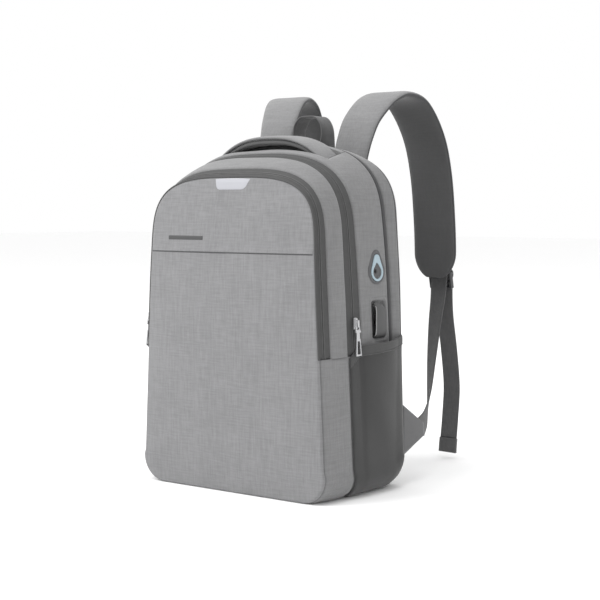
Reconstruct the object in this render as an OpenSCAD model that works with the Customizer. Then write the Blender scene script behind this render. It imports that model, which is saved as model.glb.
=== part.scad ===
// Slim laptop backpack: front flap, clamshell front section, side pockets, ports and shoulder straps.
// Millimetres. Floor at z = 0, front towards -Y, wearer's side towards +Y, port side towards +X.

/* [Body] */
// half width of the front panel at the floor
front_half_base = 139; // [125:155]
// half width of the front panel, 300 mm up
front_half_up = 124; // [110:140]
// height of the front panel
front_height = 378; // [340:400]
// distance of the front panel's edge ahead of the origin
front_reach = 73; // [60:90]
// depth of the front zip band
front_zip_depth = 21; // [16:26]
// depth of the front section, front edge to main zip
front_section_depth = 52; // [40:60]
// depth of the main zip band
main_zip_depth = 24; // [18:30]
// distance from the front edge to the dark side seam
seam_depth = 131; // [115:140]
// distance from the front edge to the back edge
body_depth = 148; // [130:170]
// thickness of the gusset cloth with its lining
cloth = 2.4; // [1.6:0.2:4]
// height at which the front section and the front flap fold
fold_z = 168; // [150:185]
// height of the stretch of cloth that bends when they fold
fold_band = 48; // [30:60]

/* [Front panel] */
// forward bulge of the front panel
front_bulge = 4; // [0:10]
// height of the covered front slit
welt_z = 289; // [270:300]
// width of the pale patch at the top edge
patch_w = 45; // [35:60]

/* [Zip sliders] */
// height of the main slider above the floor
main_slider_z = 206; // [185:260]
// length of a slider's pull
pull_len = 37; // [30:42]

/* [Ports] */
// height of the round cable port
cable_port_z = 271; // [250:290]
// depth position of the cable port
cable_port_y = 35; // [25:45]
// radius of the cable hole
cable_hole_r = 2.6; // [2:0.1:4]
// height of the charging port's centre
usb_z = 208; // [195:220]
// depth position of the charging port
usb_y = 37; // [30:42]

/* [Straps] */
// half width of a shoulder strap
strap_half = 31; // [26:36]
// thickness of a shoulder strap
strap_t = 11; // [8:16]
// half width of the webbing
web_half = 12.5; // [10:15]
// thickness of the webbing
web_t = 1.6; // [1:0.2:2.4]

/* [Handle] */
// half length of the arched handle
handle_half = 88; // [70:100]
// height of the handle's crown above the floor
handle_top = 431; // [420:440]

/* [Hidden] */
$fn = 48;
fb = front_half_base;
fu = front_half_up;
fy = -front_reach;
fh = front_height;
// outlines, front to back: base half width, half width at 300, height, cap, power, corner, y, top lean
LA = [fb, fu, fh, 80, 3.4, 32, fy, 6];
LB = [fb + 4, fu + 3, fh + 11, 88, 3.2, 30, fy + front_zip_depth, 1];
LC = [fb + 6, fu + 6, fh + 24, 98, 3.05, 26, fy + front_section_depth, -5];
LD = [fb + 10, fu + 9, fh + 30, 90, 2.9, 28, fy + front_section_depth + main_zip_depth, -14];
LE = [fb + 14, fu + 14, fh + 43, 92, 2.9, 30, fy + seam_depth, -20];
LF = [fb + 16, fu + 22, fh + 38, 80, 2.8, 42, fy + body_depth, -18];
LG = [fb + 5, fu + 12, fh + 26, 72, 2.7, 36, fy + body_depth + 11, -8];
lo_z = fold_z - fold_band;
hinge_y = fy + front_section_depth + main_zip_depth / 2;

function mix(p, q, f) = p * (1 - f) + q * f;
function wz(L, z) = L[0] + (L[1] - L[0]) * z / 300;
function yz(L, z) = L[6] + (z > 220 ? L[7] * pow((z - 220) / (L[2] - 220), 2) : 0);
function half_xz(L) = let (z1 = L[2] - L[3], r = L[5], e = 2 / L[4]) concat(
  [for (a = [0 : 15 : 90]) [wz(L, 0) - r + r * sin(a), r - r * cos(a)]],
  [for (k = [1 : 4]) [wz(L, r + (z1 - r) * k / 5), r + (z1 - r) * k / 5]],
  [for (a = [0, 10, 20, 30, 40, 50, 60, 67, 73, 79, 84, 87])
    let (z = z1 + L[3] * pow(sin(a), e)) [wz(L, z) * pow(cos(a), e), z]]);
function inset(L, t) = [L[0] - t, L[1] - t, L[2] - 2 * t, L[3] - t, L[4], max(4, L[5] - t), L[6], L[7]];
function ring(L, t) = let (h = half_xz(inset(L, t)), n = len(h)) concat(
  [for (p = h) [p[0], yz(L, p[1] + t), p[1] + t]],
  [for (i = [n - 1 : -1 : 0]) [-h[i][0], yz(L, h[i][1] + t), h[i][1] + t]]);
function flat(v) = [for (a = v) for (b = a) b];
function cr(p, i, t) = let (
  a = p[max(i - 1, 0)], b = p[i], c = p[i + 1], d = p[min(i + 2, len(p) - 1)])
  0.5 * (2 * b + (c - a) * t + (2 * a - 5 * b + 4 * c - d) * t * t + (3 * b - a - 3 * c + d) * t * t * t);
function smooth(p, m) = concat([for (i = [0 : len(p) - 2]) for (k = [0 : m - 1]) cr(p, i, k / m)], [p[len(p) - 1]]);
function unit(v) = v / norm(v);

// closed tube of rings joined in a loop, such as a cloth band with thickness
module ring_loop(rings) {
  m = len(rings);
  n = len(rings[0]);
  polyhedron(flat(rings), [for (r = [0 : m - 1]) for (i = [0 : n - 1]) for (f = [0, 1])
    let (a = r * n + i, b = r * n + (i + 1) % n, c = ((r + 1) % m) * n + (i + 1) % n, d = ((r + 1) % m) * n + i)
    f == 0 ? [a, b, c] : [a, c, d]], convexity = 8);
}

// solid through a row of rings, with a centre point closing each end
module ring_stack(rings, c0, c1) {
  m = len(rings);
  n = len(rings[0]);
  polyhedron(concat(flat(rings), [c0, c1]), concat(
    [for (r = [0 : m - 2]) for (i = [0 : n - 1]) for (f = [0, 1])
      let (a = r * n + i, b = r * n + (i + 1) % n, c = (r + 1) * n + (i + 1) % n, d = (r + 1) * n + i)
      f == 0 ? [a, b, c] : [a, c, d]],
    [for (i = [0 : n - 1]) [(i + 1) % n, i, m * n]],
    [for (i = [0 : n - 1]) [(m - 1) * n + i, (m - 1) * n + (i + 1) % n, m * n + 1]]), convexity = 8);
}

module band(p, q, t, out = 0) {
  ring_loop([ring(p, -out), ring(q, -out), ring(q, t), ring(p, t)]);
}

module core(p, q, t) {
  ring_stack([ring(p, t), ring(q, t)], [0, yz(p, 180), 180], [0, yz(q, 180), 180]);
}

module above(z) {
  intersection() {
    children();
    translate([-300, -300, z]) cube([600, 600, 500]);
  }
}

module below(z, zlow = -5) {
  intersection() {
    children();
    translate([-300, -300, zlow]) cube([600, 600, z - zlow]);
  }
}

// cloth panel inside an outline, bulging by b at its middle; s is -1 for the front, 1 for the back
module panel(L, t, b, s, edge = 0) {
  zc = 185;
  r0 = ring(L, edge);
  rings = [for (f = [1, 0.93, 0.8, 0.6, 0.3])
    [for (p = r0) let (z = zc + (p[2] - zc) * f) [p[0] * f, yz(L, z) + s * b * (1 - pow(f, 4)), z]]];
  back = [for (f = [0.3, 0.6, 0.8, 0.93, 1])
    [for (p = r0) let (z = zc + (p[2] - zc) * f) [p[0] * f, yz(L, z) + s * b * (1 - pow(f, 4)) - s * t, z]]];
  c = [0, yz(L, zc) + s * b, zc];
  all = concat([for (i = [4 : -1 : 0]) rings[i]], [for (i = [4 : -1 : 0]) back[i]]);
  if (s < 0) {
    ring_stack(all, c, c - [0, s * t, 0]);
  } else {
    ring_stack([for (i = [9 : -1 : 0]) all[i]], c - [0, s * t, 0], c);
  }
}

// ribbon along a path: d is the width direction, w the half widths, n0 and n1 the faces' offsets
module ribbon(path, d, w, n0, n1, r = 0.6) {
  m = len(path);
  rings = [for (i = [0 : m - 1]) let (
    t = unit(path[min(i + 1, m - 1)] - path[max(i - 1, 0)]),
    u = unit(d[i] - t * (d[i] * t)), n = cross(t, u), c = path[i], h = w[i])
    [c + u * (h - r) + n * n1, c - u * (h - r) + n * n1, c - u * h + n * (n1 - r), c - u * h + n * (n0 + r),
      c - u * (h - r) + n * n0, c + u * (h - r) + n * n0, c + u * h + n * (n0 + r), c + u * h + n * (n1 - r)]];
  ring_stack(rings, (rings[0][0] + rings[0][4]) / 2, (rings[m - 1][0] + rings[m - 1][4]) / 2);
}

// ---- front panel and front section ----
module front_panel_lower() {
  color([0.6, 0.6, 0.61]) below(lo_z) panel(LA, cloth, front_bulge, -1);
}

module front_panel_fold() {
  color([0.6, 0.6, 0.61]) below(fold_z, lo_z) panel(LA, cloth, front_bulge, -1);
}

module front_panel_upper() {
  color([0.62, 0.62, 0.63]) above(fold_z + 0.4) panel(LA, cloth, front_bulge, -1);
}

module welt_lip() {
  color([0.62, 0.62, 0.63]) below(welt_z + 9, welt_z)
    intersection() {
      panel(LA + [0, 0, 0, 0, 0, 0, -1.5, 0], 1.4, front_bulge, -1);
      translate([-124, -100, 200]) cube([248, 60, 200]);
    }
}

module welt_slit() {
  color([0.2, 0.2, 0.21]) below(welt_z - 0.3, welt_z - 2.4)
    intersection() {
      panel(LA + [0, 0, 0, 0, 0, 0, -0.7, 0], 0.65, front_bulge, -1);
      translate([-120, -100, 200]) cube([240, 60, 200]);
    }
}

module reflective_patch() {
  color([0.87, 0.87, 0.9]) intersection() {
    panel(LA + [0, 0, 0, 0, 0, 0, -0.9, 0], 0.85, front_bulge, -1);
    translate([4, -60, fh - 15]) rotate([90, 0, 0]) linear_extrude(40)
      polygon([[-patch_w / 2, 16], [-patch_w / 2 + 4, 4], [-patch_w / 2 + 8, 1.5],
        [patch_w / 2 - 9, 1.5], [patch_w / 2 - 5, 4], [patch_w / 2, 16]]);
  }
}

module name_bar() {
  color([0.33, 0.33, 0.34]) intersection() {
    panel(LA + [0, 0, 0, 0, 0, 0, -1.0, 0], 0.95, front_bulge, -1);
    translate([-94, -90, 301]) cube([52, 40, 6]);
  }
}

module front_tape_inner() {
  color([0.36, 0.36, 0.36]) above(fold_z + 0.4) band(mix(LA, LB, 0.17), mix(LA, LB, 0.485), 1.4);
}

module front_tape_outer() {
  color([0.36, 0.36, 0.36]) above(fold_z + 0.4) band(mix(LA, LB, 0.515), mix(LA, LB, 0.98), 1.4);
}

module front_coil_inner() {
  color([0.27, 0.27, 0.28]) above(fold_z + 0.4) band(mix(LA, LB, 0.38), mix(LA, LB, 0.48), -0.15, 1.1);
}

module front_coil_outer() {
  color([0.27, 0.27, 0.28]) above(fold_z + 0.4) band(mix(LA, LB, 0.52), mix(LA, LB, 0.62), -0.15, 1.1);
}

module front_gusset_upper() {
  color([0.5, 0.5, 0.5]) above(fold_z + 0.4) band(LB, LC, cloth);
}

module front_gusset_fold() {
  p = mix(LA, LC, 0.053);
  q = mix(LC, LD, 0.5);
  color([0.5, 0.5, 0.5]) below(fold_z, lo_z)
    ring_loop([ring(p, 0), ring(LC, 0), ring(q, 0), ring(q, cloth), ring(LC, cloth), ring(p, cloth)]);
}

module front_gusset_lower() {
  color([0.5, 0.5, 0.5]) below(lo_z) band(mix(LA, LC, 0.053), LC, cloth);
}

module divider_upper() {
  color([0.3, 0.3, 0.31]) above(fold_z + 0.4)
    panel(LC + [0, 0, 0, 0, 0, 0, -2, 0], 1.6, 0, -1, cloth + 0.9);
}

module divider_lower() {
  color([0.3, 0.3, 0.31]) below(fold_z - 12)
    panel(LC + [0, 0, 0, 0, 0, 0, -2, 0], 1.6, 0, -1, cloth + 0.9);
}

module main_tape_front() {
  color([0.36, 0.36, 0.36]) above(fold_z + 0.4) band(mix(LC, LD, 0.01), mix(LC, LD, 0.485), 1.4);
}

module main_tape_rear() {
  color([0.36, 0.36, 0.36]) above(fold_z + 0.4) band(mix(LC, LD, 0.515), mix(LC, LD, 0.99), 1.4);
}

module main_coil_front() {
  color([0.27, 0.27, 0.28]) above(fold_z + 14) band(mix(LC, LD, 0.39), mix(LC, LD, 0.48), -0.15, 1.1);
}

module main_coil_rear() {
  color([0.27, 0.27, 0.28]) above(fold_z + 14) band(mix(LC, LD, 0.52), mix(LC, LD, 0.61), -0.15, 1.1);
}

// ---- fixed rear body ----
module lower_gusset() {
  color([0.5, 0.5, 0.5]) difference() {
    below(fold_z) band(LC, LD, cloth);
    translate([-300, -40, lo_z]) cube([600, 31.3, 60]);
  }
}

module main_gusset() {
  color([0.5, 0.5, 0.5]) difference() {
    band(LD, LE, cloth);
    translate([-80, 0, 385]) cube([160, 37, 60]);
    translate([115, cable_port_y, cable_port_z]) teardrop(15.9, 40);
    translate([120, usb_y - 18.2, usb_z - 27.2]) cube([40, 36.4, 54.4]);
  }
}

module side_seam() {
  color([0.28, 0.28, 0.29]) above(0) band(LE, mix(LE, LF, 0.25), cloth, 0.6);
}

module rear_gusset() {
  color([0.5, 0.5, 0.5]) band(mix(LE, LF, 0.25), LF, cloth);
}

module back_edge() {
  color([0.42, 0.42, 0.43]) band(LF, LG, cloth);
}

module back_panel() {
  color([0.3, 0.3, 0.31]) panel(LG, 5, 3, 1, cloth + 0.3);
}

module back_pad(s) {
  ring_stack([for (k = [0 : 4]) let (e = [3, 0, 0, 2, 7][k], y = [89.3, 92, 97, 101, 103][k])
    [for (a = [0 : 15 : 345]) [s * (56 + (32 - e) * sign(cos(a)) * pow(abs(cos(a)), 0.5)), y,
      195 + (118 - e) * sign(sin(a)) * pow(abs(sin(a)), 0.4)]]], [s * 56, 89.3, 195], [s * 56, 103, 195]);
}

module back_pads() {
  color([0.26, 0.26, 0.27]) {
    back_pad(-1);
    mirror([1, 0, 0]) back_pad(-1);
  }
}

module yoke() {
  color([0.34, 0.34, 0.35]) intersection() {
    panel(LG + [0, 0, 0, 0, 0, 0, 9.6, 0], 9, 5, 1, 6);
    translate([-110, 60, 340]) cube([220, 60, 80]);
  }
}

module handle_well() {
  color([0.24, 0.24, 0.25]) difference() {
    intersection() {
      core(LD, LE, 0.4);
      translate([-79.6, 0.4, 392]) cube([159.2, 36.2, 60]);
    }
    translate([-77.6, 2.4, 394]) cube([155.2, 32.2, 60]);
  }
}

module laptop_divider() {
  color([0.3, 0.3, 0.31]) difference() {
    below(300) panel(mix(LD, LE, 0.89), 5, 0, 1, cloth + 0.8);
    translate([124, 30, usb_z - 30]) cube([40, 30, 118]);
  }
}

// ---- arched handle ----
handle_pts = [for (k = [-12 : 12]) let (x = handle_half * sin(k * 7.5))
  [x, 19.6, handle_top - 33 * pow(abs(x) / handle_half, 2.6)]];
handle_d = [for (p = handle_pts) [0, 1, 0.06 + 0.24 * pow(p[0] / handle_half, 2)]];

module handle_top_band() {
  color([0.5, 0.5, 0.5]) ribbon(handle_pts, handle_d, [for (p = handle_pts) 16.6], -5, 0, 1.6);
}

module handle_lining() {
  color([0.24, 0.24, 0.25]) ribbon(handle_pts, handle_d, [for (p = handle_pts) 15.2], -8, -5.35, 1.2);
}

// ---- side pockets ----
module pocket(s) {
  ys = [for (k = [0 : 8]) -19 + k * 11.6];
  function bw(y, z) = let (f = (y - LD[6]) / (LE[6] - LD[6])) y < LD[6]
    ? wz(mix(LC, LD, (y - LC[6]) / main_zip_depth), z)
    : (y < LE[6] ? wz(mix(LD, LE, f), z) : wz(mix(LE, LF, (y - LE[6]) / (LF[6] - LE[6])), z));
  function corner(z, r) = z < r ? r - sqrt(r * r - (r - z) * (r - z)) : 0;
  function rb(y) = y < LD[6] ? LC[5] - 3 : (y < LE[6] ? LD[5] - 3 : LE[5] - 3 + 12 * (y - LE[6]) / 17);
  zs = [14, 17, 20, 24, 28, 34, 40, 60, 85, 110, 135, 160];
  function hem(y) = 166 + 13 * pow(min(1, (y + 19) / 20), 0.8) + 8 * pow((y + 19) / 93, 2);
  function puff(y, z) = let (u = (y + 2) / 75.8) 1.3 + 12 * pow(z / 165, 1.2) * pow(max(0, sin(180 * u)), 0.6);
  function grid(o) = [for (y = ys) [for (z = zs) let (zz = z * hem(y) / 160)
    [s * (bw(y, zz) - corner(zz, rb(y)) + puff(y, zz) + o), y, zz]]];
  ga = grid(1.2);
  gb = grid(0);
  n = len(zs);
  rings = [for (i = [0 : 8]) concat(ga[i], [for (j = [n - 1 : -1 : 0]) gb[i][j]])];
  ca = (ga[0][4] + gb[0][4]) / 2;
  cb = (ga[8][4] + gb[8][4]) / 2;
  m = 2 * n;
  polyhedron(flat(rings), concat(
    [for (r = [0 : 7]) for (i = [0 : m - 1]) for (f = [0, 1])
      let (a = r * m + i, b = r * m + (i + 1) % m, c = (r + 1) * m + (i + 1) % m, d = (r + 1) * m + i)
      f == 0 ? (s > 0 ? [a, b, c] : [c, b, a]) : (s > 0 ? [a, c, d] : [d, c, a])],
    [for (j = [0 : n - 2]) for (f = [0, 1]) let (a = j, b = j + 1, c = m - 2 - j, d = m - 1 - j)
      f == 0 ? (s > 0 ? [c, b, a] : [a, b, c]) : (s > 0 ? [d, c, a] : [a, c, d])],
    [for (j = [0 : n - 2]) for (f = [0, 1])
      let (a = 8 * m + j, b = 8 * m + j + 1, c = 8 * m + m - 2 - j, d = 8 * m + m - 1 - j)
      f == 0 ? (s > 0 ? [a, b, c] : [c, b, a]) : (s > 0 ? [a, c, d] : [d, c, a])]), convexity = 8);
}

module side_pocket_right() {
  color([0.32, 0.32, 0.32]) pocket(1);
}

module side_pocket_left() {
  color([0.32, 0.32, 0.32]) pocket(-1);
}

// ---- zip sliders: built at the side's middle line, x outwards ----
module slider() {
  difference() {
    union() {
      translate([1.5, -4.2, -7]) cube([3.2, 8.4, 14]);
      translate([4.6, -1.3, -4.2]) cube([2.6, 2.6, 8.4]);
    }
    translate([4.4, -3.6, -2.8]) cube([1.8, 7.2, 5.6]);
    translate([0.5, -1.2, -8]) cube([1.4, 2.4, 16]);
  }
}

module pull() {
  translate([4.8, 0, 0]) {
    difference() {
      translate([0, -3.4, -11]) cube([1, 6.8, 11.7]);
      translate([-1, -2.1, -5.8]) cube([4, 4.2, 5.5]);
    }
    translate([-0.3, -2.4, -13.5]) cube([2, 4.8, 3]);
    translate([0, -2, -20.5]) cube([1.4, 4, 8]);
    difference() {
      translate([0, -4, -pull_len - 1]) cube([1.6, 8, pull_len - 19]);
      translate([-1, -2.3, -pull_len + 1]) cube([4, 4.6, pull_len - 24]);
    }
  }
}

module at_main() {
  L = mix(LC, LD, 0.5);
  translate([wz(L, main_slider_z), L[6], main_slider_z]) rotate([0, -2.9, 0]) children();
}

module at_front() {
  L = mix(LA, LB, 0.5);
  translate([-wz(L, main_slider_z), L[6], main_slider_z]) rotate([0, 2.9, 0]) mirror([1, 0, 0]) children();
}

module main_slider() {
  color([0.78, 0.78, 0.79]) at_main() slider();
}

module main_pull() {
  color([0.8, 0.8, 0.81]) at_main() pull();
}

module front_slider() {
  color([0.78, 0.78, 0.79]) at_front() slider();
}

module front_pull() {
  color([0.8, 0.8, 0.81]) at_front() pull();
}

// ---- ports ----
px = wz(mix(LD, LE, 0.6), cable_port_z);
ux = wz(mix(LD, LE, 0.6), usb_z);

module teardrop(r, h) {
  rotate([0, 90, 0]) rotate([0, 0, 90]) linear_extrude(h) polygon(concat(
    [for (a = [160 : 10 : 380]) [r * cos(a), r * sin(a) - 0.32 * r]],
    [for (a = [20 : 14 : 160]) [0.55 * r * cos(a), 0.77 * r + 0.55 * r * sin(a)]]));
}

module cable_grommet() {
  color([0.2, 0.2, 0.21]) difference() {
    union() {
      translate([px - 2.6, cable_port_y, cable_port_z]) teardrop(15.5, 5.2);
      translate([px - 5, cable_port_y, cable_port_z - 5]) rotate([0, 90, 0]) cylinder(r = 6.5, h = 6);
    }
    translate([px - 8, cable_port_y, cable_port_z - 5]) rotate([0, 90, 0]) cylinder(r = cable_hole_r, h = 20);
  }
}

module cable_port_inlay() {
  color([0.66, 0.72, 0.8]) {
    difference() {
      translate([px + 2.65, cable_port_y, cable_port_z - 5]) rotate([0, 90, 0]) cylinder(r = 8, h = 1.2);
      translate([px, cable_port_y, cable_port_z - 5]) rotate([0, 90, 0]) cylinder(r = 5.4, h = 8);
    }
    translate([px + 2.65, cable_port_y, cable_port_z + 9]) rotate([0, 90, 0]) cylinder(r = 4.6, h = 1.2);
  }
}

module usb_frame() {
  color([0.5, 0.5, 0.5]) difference() {
    translate([ux - 3, usb_y - 18, usb_z - 27]) cube([4.6, 36, 54]);
    translate([ux - 9, usb_y - 8.4, usb_z - 18.4]) cube([20, 16.8, 36.8]);
    translate([ux - 0.5, usb_y - 13, usb_z - 23]) cube([10, 26, 46]);
  }
}

module usb_socket() {
  color([0.14, 0.14, 0.15]) difference() {
    translate([ux - 14, usb_y - 8, usb_z - 18]) cube([13, 16, 36]);
    translate([ux - 12, usb_y - 3.2, usb_z - 7.5]) cube([14, 6.4, 15]);
  }
}

module usb_contacts() {
  color([0.85, 0.85, 0.86]) translate([ux - 12, usb_y - 2.6, usb_z - 6.6]) cube([10, 2, 13.2]);
}

module usb_cover() {
  color([0.3, 0.3, 0.31]) difference() {
    translate([ux, usb_y - 12.4, usb_z]) rotate([0, 90, 0]) hull() {
      for (a = [-1, 1]) {
        for (b = [0, 1]) {
          translate([17 * a, 4.4 + 16 * b, 0]) cylinder(r = 4.4, h = 6.4);
        }
      }
    }
    translate([ux - 1, usb_y - 7, usb_z - 13]) cube([5, 16, 26]);
    translate([ux - 1, usb_y - 14, usb_z - 15]) cube([4.6, 9, 30]);
  }
}

// ---- shoulder straps: a loop from the yoke to the side's foot ----
strap_pts = smooth([[62, 105.2, 430.2], [65.4, 117, 456], [73, 141, 480], [80, 168, 487], [87, 197, 475],
  [94, 223, 436], [98, 236, 385], [100, 241, 320], [101, 240, 272], [101, 239, 252]], 3);
root_pts = smooth([[58, 97, 384], [59.4, 98, 402], [61.7, 104.5, 428]], 3);
strap_n = len(strap_pts) - 1;
strap_w = [for (i = [0 : strap_n]) let (u = i / strap_n) u < 0.3 ? 26 + (strap_half - 26) * sin(300 * u)
  : (u < 0.9 ? strap_half : strap_half - 17 * pow((u - 0.9) * 10, 2))];
strap_d = [for (p = strap_pts) [1, 0, 0]];

web_pts = smooth([[101, 250, 244], [101.5, 247, 222], [104, 235, 188], [113, 212, 142], [128, 180, 96],
  [140.4, 151, 75], [148.2, 126, 67]], 4);
web_d = [for (i = [0 : len(web_pts) - 1]) let (f = pow(i / (len(web_pts) - 1), 1.5))
  unit([1 - f, -0.77 * f, 0.64 * f])];
tail_pts = smooth([[101, 264.5, 243], [101, 267, 200], [103, 275, 150], [106, 278, 100], [106, 275, 60],
  [105.3, 271.8, 28]], 3);

module strap_root_right() {
  color([0.5, 0.5, 0.51]) ribbon(root_pts, [for (p = root_pts) [1, 0, 0]], [for (p = root_pts) 25.6],
    -strap_t / 2, strap_t / 2, 1.8);
}

module strap_root_left() {
  mirror([1, 0, 0]) strap_root_right();
}

module strap_right() {
  color([0.55, 0.55, 0.56]) ribbon(strap_pts, strap_d, strap_w, -strap_t / 2, -0.2, 1.8);
}

module strap_lining_right() {
  last = len(strap_pts) - 1;
  color([0.29, 0.29, 0.29]) ribbon([for (i = [1 : last]) strap_pts[i]], [for (i = [1 : last]) strap_d[i]],
    [for (i = [1 : last]) strap_w[i] - 0.8], 0.2, strap_t / 2, 1.8);
}

module web_right() {
  p = [[101, 246.8, 266], [101, 248.6, 260.4], [101, 251, 256.9]];
  color([0.34, 0.34, 0.34]) ribbon(p, [for (q = p) [1, 0, 0]], [for (q = p) web_half], -0.8, 0.8, 0.4);
  color([0.34, 0.34, 0.34]) ribbon(web_pts, web_d, [for (p = web_pts) web_half], -web_t / 2, web_t / 2, 0.4);
}

module ladder_lock_right() {
  color([0.13, 0.13, 0.14]) translate([101, 256, 245]) rotate([14, 0, 0]) difference() {
    union() {
      translate([-17, -4, -12]) cube([34, 7, 22]);
      translate([-17, 2, 4]) rotate([0, 90, 0]) cylinder(r = 4.4, h = 34);
    }
    translate([-13.4, -8, -8.6]) cube([26.8, 20, 4.2]);
    translate([-13.4, -8, -1.4]) cube([26.8, 20, 3.2]);
    translate([-13.4, -8, 4.6]) cube([26.8, 6.6, 3.2]);
  }
}

module web_tail_right() {
  p = [[105.3, 271.7, 27.5], [105.2, 270.3, 18], [105, 269.8, 9]];
  color([0.34, 0.34, 0.34]) {
    ribbon(tail_pts, [for (p = tail_pts) [1, 0, 0]], [for (p = tail_pts) web_half], -web_t / 2, web_t / 2, 0.4);
    ribbon(p, [for (q = p) [1, 0, 0]], [for (q = p) web_half + 0.5], -2.4, 2.4, 1);
  }
}

module triangle_gusset_right() {
  color([0.43, 0.43, 0.43]) translate([150.9, 0, 0]) rotate([90, 0, 90]) linear_extrude(2.2)
    polygon([[79, 101], [122, 65], [122, 58], [79, 38]]);
}

module strap_left() {
  mirror([1, 0, 0]) strap_right();
}

module strap_lining_left() {
  mirror([1, 0, 0]) strap_lining_right();
}

module web_left() {
  mirror([1, 0, 0]) web_right();
}

module ladder_lock_left() {
  mirror([1, 0, 0]) ladder_lock_right();
}

module web_tail_left() {
  mirror([1, 0, 0]) web_tail_right();
}

module triangle_gusset_left() {
  mirror([1, 0, 0]) triangle_gusset_right();
}

// ---- hang loop ----
module hang_loop() {
  h = [[0, 101, 457.5], [13, 101, 455.5], [21.5, 101, 443], [22, 100.6, 422], [19, 95.8, 404], [17, 92.3, 384]];
  e = [0, 0, 0, 12, 62, 90];
  p = smooth(concat([for (i = [5 : -1 : 1]) [-h[i][0], h[i][1], h[i][2]]], h), 3);
  a = smooth(concat([for (i = [5 : -1 : 1]) [-e[i], 0, 0]], [for (v = e) [v, 0, 0]]), 3);
  color([0.3, 0.3, 0.31]) ribbon(p, [for (v = a) [sin(v[0]), cos(v[0]), 0]], [for (q = p) 13.5], -0.9, 0.9, 0.4);
}

front_panel_lower();
front_panel_fold();
front_panel_upper();
welt_lip();
welt_slit();
reflective_patch();
name_bar();
front_tape_inner();
front_tape_outer();
front_coil_inner();
front_coil_outer();
front_gusset_upper();
front_gusset_fold();
front_gusset_lower();
divider_upper();
divider_lower();
main_tape_front();
main_tape_rear();
main_coil_front();
main_coil_rear();
lower_gusset();
main_gusset();
side_seam();
rear_gusset();
back_edge();
back_panel();
back_pads();
yoke();
handle_well();
laptop_divider();
handle_top_band();
handle_lining();
side_pocket_right();
side_pocket_left();
main_slider();
main_pull();
front_slider();
front_pull();
cable_grommet();
cable_port_inlay();
usb_frame();
usb_socket();
usb_contacts();
usb_cover();
strap_root_right();
strap_root_left();
strap_right();
strap_lining_right();
web_right();
ladder_lock_right();
web_tail_right();
triangle_gusset_right();
strap_left();
strap_lining_left();
web_left();
ladder_lock_left();
web_tail_left();
triangle_gusset_left();
hang_loop();
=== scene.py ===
"""Slim laptop backpack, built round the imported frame. Lengths are in millimetres until finish_mesh()."""
from math import asin, cos, exp, pi, radians, sin, sqrt

import bmesh
import bpy
import numpy as np
from mathutils import Matrix, Vector
from mathutils.bvhtree import BVHTree


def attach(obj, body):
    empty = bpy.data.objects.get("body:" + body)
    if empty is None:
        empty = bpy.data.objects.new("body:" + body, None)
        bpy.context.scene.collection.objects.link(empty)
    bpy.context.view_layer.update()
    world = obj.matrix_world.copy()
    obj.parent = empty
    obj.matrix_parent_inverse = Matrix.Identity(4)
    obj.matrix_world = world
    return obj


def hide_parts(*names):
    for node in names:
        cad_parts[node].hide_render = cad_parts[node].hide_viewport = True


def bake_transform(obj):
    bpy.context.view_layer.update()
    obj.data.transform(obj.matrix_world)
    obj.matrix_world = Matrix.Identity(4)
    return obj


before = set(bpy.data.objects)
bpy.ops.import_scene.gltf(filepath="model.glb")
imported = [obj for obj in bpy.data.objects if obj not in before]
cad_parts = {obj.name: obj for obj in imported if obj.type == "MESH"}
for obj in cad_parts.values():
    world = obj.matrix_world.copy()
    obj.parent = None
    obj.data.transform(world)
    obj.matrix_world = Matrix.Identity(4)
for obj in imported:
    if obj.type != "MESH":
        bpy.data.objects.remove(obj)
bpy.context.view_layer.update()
MM = 0.001
scene = bpy.context.scene


def add_object(name, data):
    o = bpy.data.objects.new(name, data)
    scene.collection.objects.link(o)
    return o


def around(n):
    """Angles at even steps round a full turn."""
    return np.linspace(0, 2 * pi, n + 1)[:-1]


def run_of(path):
    """Distance along a path at each of its points."""
    return np.concatenate([[0], np.cumsum(np.linalg.norm(np.diff(path, axis=0), axis=1))])


# ---- camera, floor, light
AZ, EL = radians(35.96), radians(4.03)
CAM_AWAY, CAM_ASIDE, CAM_HEIGHT = 1.606, 0.0521, 0.343      # metres from the middle of the base
cam_data = bpy.data.cameras.new("camera")
cam_data.sensor_width = 36.0
cam_data.lens = 79.7
cam_data.clip_end = 50.0
cam = add_object("camera", cam_data)
cam.location = (CAM_AWAY * sin(AZ) + CAM_ASIDE, -CAM_AWAY * cos(AZ), CAM_HEIGHT)
look = Vector((-sin(AZ) * cos(EL), cos(AZ) * cos(EL), -sin(EL)))
cam.rotation_euler = look.to_track_quat("-Z", "Y").to_euler()
scene.camera = cam


def area_light(name, place, aim, size, power):
    data = bpy.data.lights.new(name, "AREA")
    data.shape = "DISK"
    data.size = size
    data.energy = power
    o = add_object(name, data)
    o.location = place
    o.rotation_euler = (Vector(aim) - Vector(place)).to_track_quat("-Z", "Y").to_euler()


area_light("key", (-1.8, -2.3, 2.5), (0, 0, 0.25), 1.8, 70)
area_light("top", (0.0, -0.3, 2.4), (0, 0, 0.2), 2.0, 24)
world = bpy.data.worlds.new("studio")
world.use_nodes = True
world.node_tree.nodes["Background"].inputs[0].default_value = (1, 1, 1, 1)
world.node_tree.nodes["Background"].inputs[1].default_value = 1.0
scene.world = world
scene.view_settings.view_transform = "Standard"
scene.view_settings.look = "None"


# ---- materials
def shader(name, rgb, rough, metallic=0.0, sheen=0.0, spec=0.5):
    m = bpy.data.materials.new(name)
    m.use_nodes = True
    nt = m.node_tree
    b = nt.nodes["Principled BSDF"]
    for key, value in (("Base Color", (*rgb, 1)), ("Roughness", rough), ("Metallic", metallic),
                       ("Specular IOR Level", spec), ("Sheen Weight", sheen), ("Sheen Roughness", 0.5)):
        b.inputs[key].default_value = value
    return m, nt, b


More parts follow.
